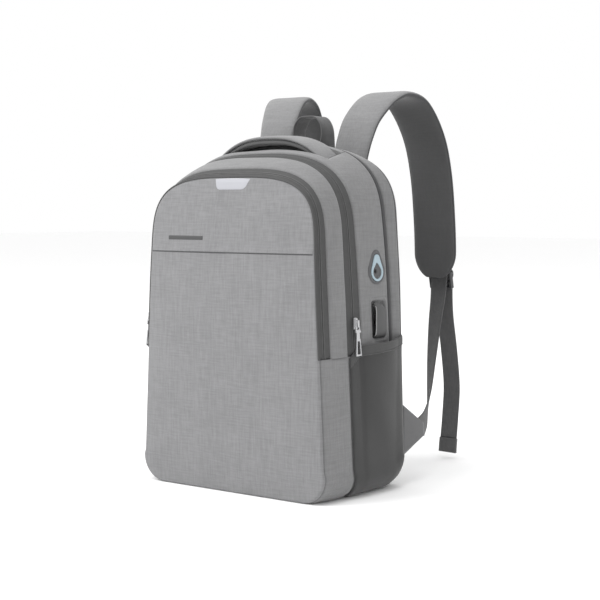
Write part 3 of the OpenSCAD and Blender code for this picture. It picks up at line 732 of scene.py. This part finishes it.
def pad(name, s):
    rows = []
    for k in range(101):
        v = sin((k / 50 - 1) * pi / 2)
        half_w = 32 * (1 - abs(v) ** 7) ** 0.22
        row = []
        for j in range(37):
            u = sin((j / 18 - 1) * pi / 2)
            z = 195 + 118 * v
            e = max(0.0, 1 - abs(u) ** 7) ** 0.5 * max(0.0, 1 - abs(v) ** 22) ** 0.5
            groove = sum(2.4 * exp(-((z - zz) / 2.2) ** 2) for zz in (119, 157, 195, 233, 271))
            row.append((s * 56 + half_w * u, 89.0 + (10.4 + 3.2 * (1 - u * u) ** 0.8 - groove) * e, z))
        rows.append(row)
    return make(name, np.array(rows), [PAD], centre=(s * 56, 60, 195))


left, right = pad("back_pad_left", -1), pad("back_pad_right", 1)
for o in (left, right):
    place(o, "bag", "mesh_foam")
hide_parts("back_pads")

yrows = []
for v in np.linspace(0, 1, 17):
    z = 341 + 56 * v
    half_w = 108 - 20 * v ** 3
    lift_y = 94.2 - 8.0 * max(0, (z - 220) / (404 - 220)) ** 2
    turn = min(1, 7 * min(v, 1 - v) + 0.12)
    yrows.append([[x * half_w, lift_y + 1.2 * turn * min(1, 12 * (1 - abs(x)) + 0.1) - 1.6 * x * x, z]
                  for x in np.linspace(-1, 1, 45)])
o = make("yoke_cloth", np.array(yrows), [DARK], centre=(0, 0, 370))
place(thicken(o, 3.0), "bag", "dark_cloth", "yoke")


# ---- handle
x = 96 * np.sin(np.linspace(-1, 1, 61) * pi / 2)
path = np.stack([x, 19.6 + 0 * x, 430 - 33 * (np.abs(x) / 90) ** 2.75], 1)
dirs = np.stack([0 * x, 1 + 0 * x, 0.06 + 0.24 * (x / 88) ** 2], 1)


def band_section(w, lo, hi):
    a = around(30)
    e = 2 / 3
    x = w * np.sign(np.cos(a)) * np.abs(np.cos(a)) ** e
    y = (lo + hi) / 2 + (hi - lo) / 2 * np.sign(np.sin(a)) * np.abs(np.sin(a)) ** e
    return np.stack([x, y], 1)


P = sweep(path, dirs, lambda s, e: band_section(16.6, -5.0, 0.0))
o = make("handle_cloth", P, [GUSSET], tube=True, centre=(0, 20, 380), turn=True)
place(o, "bag", "gusset_cloth", "handle_top_band")
P = sweep(path, dirs, lambda s, e: band_section(15.4, -8.0 - 3.6 * sin(pi * s / e), -4.2))
o = make("handle_grip_lining", P, [WELL], tube=True, centre=(0, 20, 380), turn=True)
place(o, "bag", "lining", "handle_lining")


# ---- side pockets
def layer_at(y):
    if y < LD[6]:
        return mix(LC, LD, (y - LC[6]) / (LD[6] - LC[6]))
    if y < LE[6]:
        return mix(LD, LE, (y - LD[6]) / (LE[6] - LD[6]))
    return mix(LE, LF, (y - LE[6]) / (LF[6] - LE[6]))


def hem_z(y):
    return 166 + 13 * min(1, (y + 19) / 20) ** 0.8 + 8 * ((y + 19) / 93) ** 2


def pocket_grid(z_from=None, ny=34, nz=46):
    rows = []
    for y in np.linspace(-19.6, 74.6, ny):
        L = layer_at(min(y, 74.9))
        h = half(L)[6:]
        top_z = hem_z(max(y, -19))
        k = int(np.searchsorted(h[:, 1], top_z))
        h = np.vstack([h[:k], [[wz(L, top_z), top_z]]])
        s = run_of(h)
        s0 = 0.0 if z_from is None else s[-1] - z_from
        at = np.linspace(s0, s[-1], nz)
        x, z = np.interp(at, s, h[:, 0]), np.interp(at, s, h[:, 1])
        t = np.gradient(np.stack([x, z], 1), axis=0)
        n = np.stack([t[:, 1], -t[:, 0]], 1)
        n /= np.linalg.norm(n, axis=1)[:, None]
        u = (y + 2) / 75.8
        puff = 12 * np.clip(z / 165, 0, 2) ** 1.2 * max(0, sin(pi * min(max(u, 0), 1))) ** 0.6
        edge = min(1, (y + 19.6) / 3, (74.6 - y) / 3)
        off = 1.1 + 0.7 * edge + puff
        p = np.stack([x + n[:, 0] * off, np.full(nz, y), z + n[:, 1] * off * (z > 3)], 1)
        p[:, 2] = np.maximum(p[:, 2], 0.15)
        p[:, 0] += waves(p, 0.6, 70, 41) * np.clip((z - 20) / 40, 0, 1) * edge
        rows.append(p)
    return np.array(rows)


for s, side in ((1, "right"), (-1, "left")):
    P = flip_x(pocket_grid(), s)
    o = make("side_pocket_cloth_" + side, P, [POCKET, LINING], centre=(0, 20, 120))
    place(thicken(o, 1.1, True), "bag", "pocket_cloth", "side_pocket_" + side)
    G = flip_x(pocket_grid(z_from=11.5, ny=48, nz=9), s)
    v = np.linspace(0, 1, 9)
    G = G + np.array([s, 0, 0]) * (0.15 + 0.9 * np.sin(pi * v) ** 0.4)[None, :, None]
    G[:, -1, 2] += 0.4
    o = make("pocket_hem_" + side, G, [HEM, LINING], centre=(0, 20, 120), turn=True)
    place(thicken(o, 1.9, True), "bag", "pocket_cloth")
    line = G[:, 1] + [s * 0.25, 0, 0]
    nn = np.tile([float(s), 0, 0], (len(line), 1))
    stitches("hem_stitches_" + side, line, nn, "bag", "pocket_cloth", THREAD_DARK)


# ---- zip sliders
def outline_rect(w0, w1, v0, v1, r, n=5):
    """Rounded four-sided outline: half width w0 at v0 (low) and w1 at v1 (high)."""
    pts = []
    corners = ((w1 - r, v1 - r, 0), (r - w1, v1 - r, 90), (r - w0, v0 + r, 180), (w0 - r, v0 + r, 270))
    for cx, cz, a0 in corners:
        pts += [(cx + r * cos(a), cz + r * sin(a)) for a in np.radians(np.linspace(a0, a0 + 90, n))]
    return np.array(pts)


def plate(outer, inner, h0, h1, soft=0.25):
    """Plate with softened edges, as (out, across, up) points; its hole has as many points as its outline."""
    def drawn_in(q, k):
        away = q.mean(0) - q
        return q + away / np.linalg.norm(away, axis=1)[:, None] * k

    rows = [(drawn_in(outer, soft), h0), (outer, h0 + soft), (outer, h1 - soft), (drawn_in(outer, soft), h1)]
    if inner is not None:
        wider = drawn_in(inner, -soft)
        rows += [(wider, h1), (inner, h1 - soft), (inner, h0 + soft), (wider, h0)]
    return np.array([np.stack([np.full(len(q), h), q[:, 0], q[:, 1]], 1) for q, h in rows])


def from_bmesh(name, bm, mat, matrix, sharp):
    """Object from a bmesh in millimetres, moved by the matrix."""
    me = bpy.data.meshes.new(name)
    bm.to_mesh(me)
    bm.free()
    me.transform(matrix)
    me.transform(Matrix.Scale(MM, 4))
    me.materials.append(mat)
    me.shade_smooth()
    me.set_sharp_from_angle(angle=radians(sharp))
    return add_object(name, me)


def solid(name, parts, mat, matrix):
    """One object from several plates. Each is (outer, inner, low, high)."""
    bm = bmesh.new()
    for outer, inner, h0, h1 in parts:
        P = plate(outer, inner, h0, h1)
        m, n = P.shape[:2]
        vs = [[bm.verts.new(p) for p in row] for row in P]
        for i in range(m if inner is not None else m - 1):
            for j in range(n):
                bm.faces.new((vs[i][j], vs[i][(j + 1) % n], vs[(i + 1) % m][(j + 1) % n], vs[(i + 1) % m][j]))
        if inner is None:
            bm.faces.new(list(reversed(vs[0])))
            bm.faces.new(vs[-1])
    bmesh.ops.recalc_face_normals(bm, faces=bm.faces)
    return from_bmesh(name, bm, mat, matrix, 40)


def zip_pull(tag, L, s, slide_body, pull_body, slide_node, pull_node):
    z0 = 206.0          # height of the slider at rest
    base = Matrix.Translation((s * wz(L, z0), L[6], z0)) @ Matrix.Rotation(radians(-2.9 * s), 4, "Y")
    if s < 0:
        base = base @ Matrix.Rotation(pi, 4, "Z")
    o = solid(tag + "_slider_body", [
        (outline_rect(3.6, 3.0, -7, 7, 1.5), None, 1.4, 3.0),
        (outline_rect(2.8, 2.3, -6.2, 6.4, 1.2), None, 2.9, 4.3),
        (outline_rect(1.5, 1.5, -4.2, -2.8, 0.6), None, 4.0, 6.6),
        (outline_rect(1.5, 1.5, 2.8, 4.2, 0.6), None, 4.0, 6.6),
        (outline_rect(1.5, 1.5, -4.2, 4.2, 0.7), None, 6.2, 7.2)], METAL, base)
    place(o, slide_body, "zip_metal", slide_node)
    o = solid(tag + "_pull_tab", [
        (outline_rect(4.6, 3.2, -8.6, 0.7, 1.0), outline_rect(3.2, 2.1, -6.8, -0.35, 0.8), 4.8, 5.9),
        (outline_rect(5.0, 5.0, -10.6, -8.2, 0.7), None, 4.6, 6.5),
        (outline_rect(3.1, 2.9, -18.6, -10.2, 0.6), None, 4.9, 6.1),
        (outline_rect(5.4, 3.7, -38.0, -17.6, 0.8), outline_rect(3.5, 2.5, -35.9, -20.6, 0.4), 4.7, 6.3)],
        METAL, base)
    place(o, pull_body, "zip_metal", pull_node)


zip_pull("main", mix(LC, LD, 0.5), 1, "main_slider", "main_pull", "main_slider", "main_pull")
zip_pull("front", mix(LA, LB, 0.5), -1, "front_slider", "front_pull", "front_slider", "front_pull")

# ---- ports
LP = mix(LD, LE, 0.6)
PX, UX = wz(LP, PORT_Z), wz(LP, USB_Z)


def drop(r_low, z_low, r_high, z_high, n=56):
    """Teardrop outline: the hull of a large low circle and a small high one."""
    k = asin(max(-1.0, min(1.0, (r_low - r_high) / (z_high - z_low))))
    low = [(r_low * cos(a), z_low + r_low * sin(a)) for a in np.linspace(pi - k, 2 * pi + k, n)]
    high = [(r_high * cos(a), z_high + r_high * sin(a)) for a in np.linspace(k, pi - k, n // 2)]
    return np.array(low + high[1:-1])


def wall_rings(outlines, x0, y0, z0, lean):
    """Rings on the side wall from (outline, height) pairs; lean is how the wall slants from front to back."""
    return np.array([np.stack([x0 + h + lean * q[:, 0] - 0.05 * q[:, 1], y0 + q[:, 0], z0 + q[:, 1]], 1)
                     for q, h in outlines])


def port_rows(specs, y0):
    """Rings round the cable port, each from drop()'s four sizes and a height."""
    return wall_rings([(drop(*sizes), h) for *sizes, h in specs], PX, y0, PORT_Z, 0.09)


P = port_rows([(15.3, -5, 8.3, 12, -2.5), (15.5, -5, 8.5, 12, 0.6), (15.5, -5, 8.5, 12, 1.9),
               (14.2, -5, 7.2, 12, 3.0), (12.8, -5, 5.9, 12, 2.7), (12.0, -5.4, 5.3, 11.4, 1.7),
               (8.6, -6.5, 3.4, 3, 1.6), (7.8, -6.6, 2.8, 1.8, 0.9), (4.6, -5.2, 3.6, -3.0, 0.5),
               (2.75, -5.02, 2.7, -4.98, 0.6), (2.65, -5.02, 2.6, -4.98, -2.0)], PORT_Y)
o = make("cable_port_rubber", P, [RUBBER], wrap_v=True, centre=(100, 35, 271))
place(o, "bag", "port_rubber", "cable_grommet")
P = port_rows([(11.2, -6.0, 5.4, 9.6, 1.6), (11.2, -6.0, 5.4, 9.6, 2.5), (10.7, -6.0, 5.0, 9.4, 2.8),
               (8.6, -6.3, 3.3, 2.4, 2.8), (8.1, -6.3, 2.9, 2.0, 2.5), (8.1, -6.3, 2.9, 2.0, 1.4)],
              PORT_Y + 1)
o = make("cable_port_loop", P, [INLAY], wrap_v=True, centre=(100, 36, 271))
place(o, "bag", "inlay_plastic", "cable_port_inlay")


def rounded(w, h, r):
    return outline_rect(w, w, -h, h, r, 9)


def usb_rows(specs):
    """Rings round the socket, each from rounded()'s three sizes and a height."""
    return wall_rings([(rounded(*sizes), h) for *sizes, h in specs], UX, USB_Y, USB_Z, 0.085)


P = usb_rows([(18, 27, 7, -2.2), (18, 27, 7, 0.4), (17.2, 26.2, 6.6, 1.25), (16.0, 25.0, 6.0, 1.6),
              (14.8, 23.8, 5.4, 1.3), (13.6, 22.8, 5, 0.4), (13.2, 22.4, 4.8, -1.2), (13.0, 22.2, 4.8, -2.6),
              (8.3, 18.3, 1.5, -2.8), (8.3, 18.3, 1.5, -4.2)])
# dark cloth on the recess floor under the hood's open edge: painted shadow of the hood
painted_hood_shadow = (rounded(13.2, 22.4, 4.8)[:, 0] < -6).astype(int)       # 1 under the hood's open edge
o = make("usb_surround", P, [GUSSET, DARK], wrap_v=True, centre=(100, 37, 208),
         pick=np.array([painted_hood_shadow * 0] * 5 + [painted_hood_shadow] * 3 + [painted_hood_shadow * 0 + 1]))
place(o, "bag", "gusset_cloth", "usb_frame")
P = usb_rows([(8, 18, 1.6, -13.5), (8, 18, 1.6, -3.2), (7.6, 17.6, 1.4, -2.7), (3.6, 7.9, 0.6, -2.7),
              (3.2, 7.5, 0.5, -3.1), (3.2, 7.5, 0.5, -12.0)])
place(make("usb_socket_block", P, [SOCKET], tube=True, centre=(100, 37, 208), sharp=50),
      "bag", "socket_plastic", "usb_socket")
P = np.array([[[UX - 12 + 9.4 * a, 34.6 + 1.7 * (0.5 - 0.5 * cos(b)), 201.4 + 13.2 * c]
               for b, c in ((0, 0), (pi, 0), (pi, 1), (0, 1))] for a in (0, 0.5, 0.96, 1.0)])
place(make("usb_tongue", P, [CONTACT], tube=True, centre=(UX - 7, 35.5, 208), sharp=30),
      "bag", "socket_metal", "usb_contacts")

# hood: high at its open front edge, falling to the hinge at the back
rows = []
for u in np.linspace(0, 1, 25):
    y = -11.8 + 24.2 * u
    rise = 5.0 + 1.3 * sin(pi * min(1.0, u / 0.8)) if u < 0.8 else 5.0 * (1 - ((u - 0.8) / 0.2) ** 2.2) ** 0.5
    row = []
    for v in np.linspace(-1, 1, 37):
        hgt = rise * max(0, 1 - abs(v) ** 6) ** 0.5 + 0.5
        round_off = 3.2 * max(0.0, 1 - u / 0.22) ** 2
        reach = 22.4 - 12.5 * u ** 2.4 - round_off if v > 0 else 21.6 - round_off * 0.3
        row.append((UX + 0.2 + hgt + 0.05 * y, USB_Y + y, USB_Z + reach * v))
    rows.append(row)
o = make("usb_hood", np.array(rows), [HOOD], centre=(100, 37, 208))
place(thicken(o, 1.3), "usb_cover", "cover_rubber", "usb_cover")
# the lip bead is pale rubber: painted highlight along the hood's open edge
bead = np.array(rows[0][2:-2]) + [0.25, -0.15, 0]
ang = around(8)
P = sweep(bead, (0, 1, 0), lambda s, e: 0.55 * np.stack([np.cos(ang), np.sin(ang)], 1))
place(make("usb_hood_lip", P, [RIM_HIGHLIGHT], tube=True, centre=(100, 30, 208)), "usb_cover", "cover_rubber")

# ---- straps
ACROSS = (1, 0, 0)
STRAP_PTS = [(58, 97, 381), (59.4, 98, 402), (61.9, 105.0, 429), (65.4, 117, 454), (73, 140, 477.5),
             (80, 165.5, 484.5), (87, 194, 472.5), (94, 219.5, 433.5), (98, 232.5, 383.5), (100, 239, 319),
             (101, 240, 270), (101, 238.6, 248.5)]
WEB_PTS = [(101, 252.6, 257), (101, 250.2, 244), (101.5, 247, 222), (104, 235, 188), (113, 212, 142),
           (128, 180, 96), (140.4, 151, 75), (148.2, 126, 67)]
TAB_PTS = [(101, 238, 272), (101, 243, 266), (101, 247.5, 260.4), (101, 250.5, 256.9)]
OVER_PTS = [(101, 253.2, 256.6), (101, 255.6, 259), (101, 260.2, 259.2), (101, 265.4, 256),
            (101, 266.8, 250.5), (101, 263.8, 245.6), (101, 262.4, 240.5)]
TAIL_PTS = [(101, 264.5, 243), (101, 267, 200), (103, 275, 150), (106, 278, 100), (106, 275, 60),
            (105.3, 271.8, 28)]
TAIL_END = [(105.3, 271.7, 28.2), (105.2, 270.3, 18), (105, 269.9, 9)]


def flat_rows(path, dirs, w, t, r=0.4):
    """Webbing of half width w and half thickness t along a path, its two faces cut into eight."""
    q = np.array([(w - r, t), (-(w - r), t), (-w, t - r), (-w, -(t - r)), (-(w - r), -t), (w - r, -t),
                  (w, -(t - r)), (w, t - r)])
    dense = []
    for a, b in zip(q, np.roll(q, -1, 0)):
        m = 8 if abs(a[0] - b[0]) > w else 1
        dense += [a + (b - a) * c / m for c in range(m)]
    return sweep(path, dirs, lambda s, e: np.array(dense))


def strap(s, side):
    body = "strap_" + side
    path = spline(STRAP_PTS, 9)

    def width(run, end):
        w = 25 + 6 * min(1, max(0, (run - 20) / 110)) ** 1.2
        left = end - run
        return w if left > 34 else max(9.0, w * sqrt(max(0.0, 1 - ((34 - left) / 36.5) ** 2)))

    def crown(a, w, run, end):
        """Points at angles a on one padded face of half width w, and how high they stand."""
        thick = 5.2 * min(1, 0.45 + (end - run) / 30)
        up = np.abs(np.sin(a))
        x = w * np.sign(np.cos(a)) * np.abs(np.cos(a)) ** 0.5
        return x, np.where(np.sin(a) < 0, -2 * up, thick * up ** 0.62)

    def outer(run, end):
        x, y = crown(np.linspace(-0.12, pi + 0.12, 27), width(run, end), run, end)
        return np.stack([x, -y], 1)

    def inner(run, end):
        return np.stack(crown(np.linspace(0, pi, 25), width(run, end) - 0.9, run, end), 1)

    def edge(sign):
        ang = around(8)
        return lambda run, end: np.stack([sign * (width(run, end) - 0.5) + 1.1 * np.cos(ang),
                                          0.1 + 1.5 * np.sin(ang)], 1)

    start, end = (s * 59.4, 98, 402), (s * 59.4, 124, 402)
    more = {"centre": (s * 85, 150, 330), "turn": True}
    o = make("shoulder_strap_" + side, flip_x(sweep(path, ACROSS, outer), s), [STRAP], cap0=True, cap1=True,
             **more)
    bend(o, "bag", body, start, end, "strap_cloth", "strap_" + side, "strap_root_" + side)
    o2 = make("strap_mesh_" + side, flip_x(sweep(path, ACROSS, inner), s), [STRAP_IN], cap0=True, cap1=True,
              **more)
    bend(o2, "bag", body, start, end, "strap_mesh", "strap_lining_" + side)
    for sign, tag in ((1, "outer"), (-1, "inner")):
        o = make("strap_binding_%s_%s" % (tag, side), flip_x(sweep(path, ACROSS, edge(sign)), s), [SEAM],
                 tube=True, **more)
        bend(o, "bag", body, start, end, "strap_mesh")
    # sewn box near the strap's end
    box = np.array([(-15, 268), (15, 268), (15, 292), (-15, 292), (-15, 268), (15, 292)], float)
    line = np.array([[s * (101 + x), 240.4 - 0.35 * (1 - abs(x) / 26) - 5.15, z] for x, z in box])
    up = np.tile([0.0, -1, 0], (len(line), 1))
    stitches("strap_box_stitches_" + side, line, up, body, "strap_mesh", THREAD_DARK)

    # webbing: a tab to the lock, down to the side, over the lock's top bar, and the loose tail with its fold
    def webbing(name, path, dirs=ACROSS, w=12.5, t=0.8):
        path = spline(*path)
        return make(name + "_" + side, flip_x(flat_rows(path, dirs, w, t), s), [WEB], tube=True,
                    centre=path.mean(0) * [s, 1, 1], turn=True)

    place(webbing("strap_tab", (TAB_PTS, 5)), body, "webbing")
    twist = np.linspace(0, 1, 9 * (len(WEB_PTS) - 1) + 1) ** 1.5
    o = webbing("strap_web", (WEB_PTS, 9), np.stack([1 - twist, -0.77 * twist, 0.64 * twist], 1))
    bend(o, "bag", body, (s * 148.2, 126, 67), (s * 134, 166, 85), "webbing", "web_" + side)
    place(webbing("strap_web_over", (OVER_PTS, 6)), body, "webbing")
    place(webbing("web_tail_strip", (TAIL_PTS, 9)), "tail_" + side, "webbing", "web_tail_" + side)
    place(webbing("web_tail_fold", (TAIL_END, 5), w=12.9, t=2.3), "tail_" + side, "webbing")


strap(1, "right")
strap(-1, "left")


# ladder lock: size, middle and edge softness of each bar
LOCK_BARS = [((3.6, 7.0, 22), (-15.2, -0.5, -1), 1.4), ((3.6, 7.0, 22), (15.2, -0.5, -1), 1.4),
             ((31, 6.0, 3.4), (0, -0.6, -10.2), 1.3), ((31, 4.4, 2.8), (0, 0.6, -3.0), 1.1),
             ((31, 4.0, 2.6), (0, -1.6, 3.2), 1.0), ((33.6, 7.6, 3.6), (0, 1.6, 8.0), 1.6)]


def bar_box(bm, size, centre, soft, cuts=3):
    r = bmesh.ops.create_cube(bm, size=1.0)
    bmesh.ops.scale(bm, vec=size, verts=r["verts"])
    edges = list({e for v in r["verts"] for e in v.link_edges})
    b = bmesh.ops.bevel(bm, geom=edges, offset=min(soft, 0.45 * min(size)), segments=cuts, profile=0.5,
                        affect="EDGES")
    verts = list({v for f in b["faces"] for v in f.verts} | {v for v in r["verts"] if v.is_valid})
    bmesh.ops.translate(bm, vec=centre, verts=verts)


for s, side in ((1, "right"), (-1, "left")):
    bm = bmesh.new()
    for size, centre, soft in LOCK_BARS:
        bar_box(bm, size, centre, soft)
    for k in range(9):
        bar_box(bm, (1.2, 0.9, 2.4), (-12 + 3 * k, 5.4, 8.0), 0.3, 1)
    matrix = Matrix.Translation((s * 101, 256, 245)) @ Matrix.Rotation(radians(14), 4, "X")
    o = from_bmesh("lock_frame_" + side, bm, LOCK, matrix, 55)
    place(o, "strap_" + side, "lock_plastic", "ladder_lock_" + side)

    # triangular cloth that joins the webbing to the side
    rows = []
    for v in np.linspace(0, 1, 15):
        top_z, low_z = 101 + (72 - 101) * v, 38 + (57 - 38) * v
        row = []
        for u in np.linspace(0, 1, 17):
            belly = 1.2 * sin(pi * u) * sin(pi * v)
            y, z = 78 + 51 * v + 2.5 * v * (0.5 - u), low_z + (top_z - low_z) * u
            row.append((s * (151.2 + belly / 2), y, z))
        rows.append(row)
    o = make("side_triangle_" + side, np.array(rows), [DARK], centre=(s * 120, 100, 70))
    place(thicken(o, 2.2), "bag", "dark_cloth", "triangle_gusset_" + side)

# ---- hang loop
hl = [(0, 101, 457.5, 0), (13, 101, 455.5, 0), (21.5, 101, 443, 0), (22, 100.6, 422, 12), (19, 95.8, 404, 62),
      (17, 92.3, 384, 90)]
pts = [(-a, b, c) for a, b, c, _ in hl[:0:-1]] + [(a, b, c) for a, b, c, _ in hl]
twist = [(-d, 0, 0) for *_, d in hl[:0:-1]] + [(d, 0, 0) for *_, d in hl]
path, tw = spline(pts, 8), np.radians(spline(twist, 8)[:, 0])
P = flat_rows(path, np.stack([np.sin(tw), np.cos(tw), 0 * tw], 1), 13.5, 0.9)
place(make("hang_loop_webbing", P, [LOOP], tube=True, centre=(0, 101, 400), turn=True), "bag", "webbing",
      "hang_loop")

# ---- floor
me = bpy.data.meshes.new("floor")
corners = [(12 * x, 12 * y, -0.0002) for x, y in ((-1, -1), (1, -1), (1, 1), (-1, 1))]      # metres
me.from_pydata(corners, [], [(0, 1, 2, 3)])
floor_mat, nt, b = shader("floor", (0.97, 0.97, 0.97), 0.9, spec=0.1)
tint(nt, b, (0.97, 0.97, 0.97), noise(nt, coords(nt), 4), 0.004)
me.materials.append(floor_mat)
floor = add_object("floor", me)
